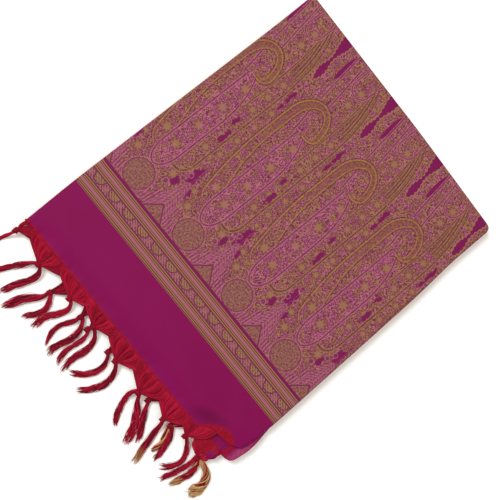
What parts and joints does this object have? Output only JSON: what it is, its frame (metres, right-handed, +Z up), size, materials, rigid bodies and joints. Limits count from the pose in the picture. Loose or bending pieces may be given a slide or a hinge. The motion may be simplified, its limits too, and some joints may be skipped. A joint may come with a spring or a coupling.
{
  "type": "saree, folded flat, pallu on top",
  "caption": "Saree folded into a flat rectangle, with the plain end band, striped border and paisley field of its pallu on top and a knotted tassel fringe along one edge.",
  "frame": {"origin": "middle of the flat underside of the folded block", "axes": "+Z up out of the stack of layers, X across the saree's width, -Y towards the fringe"},
  "size_m": [0.2988, 0.4123, 0.0166],
  "materials": {
    "shot_silk": "satin",
    "sheer_silk": "satin",
    "paisley_weave": "satin",
    "fringe_yarn": "satin"
  },
  "bodies": {
    "root": {"fold_stack": "paisley_weave", "turned_end": "sheer_silk", "pallu_panel": "shot_silk", "tassel_1": "fringe_yarn", "tassel_2": "fringe_yarn", "tassel_3": "fringe_yarn", "tassel_4": "fringe_yarn", "tassel_5": "fringe_yarn", "tassel_6": "fringe_yarn", "tassel_7": "fringe_yarn", "tassel_8": "fringe_yarn", "low_tassel_1": "fringe_yarn", "low_tassel_2": "fringe_yarn", "low_tassel_3": "fringe_yarn", "low_tassel_4": "fringe_yarn", "low_tassel_5": "fringe_yarn", "low_tassel_6": "fringe_yarn", "low_tassel_7": "fringe_yarn"}
  },
  "joints": []
}
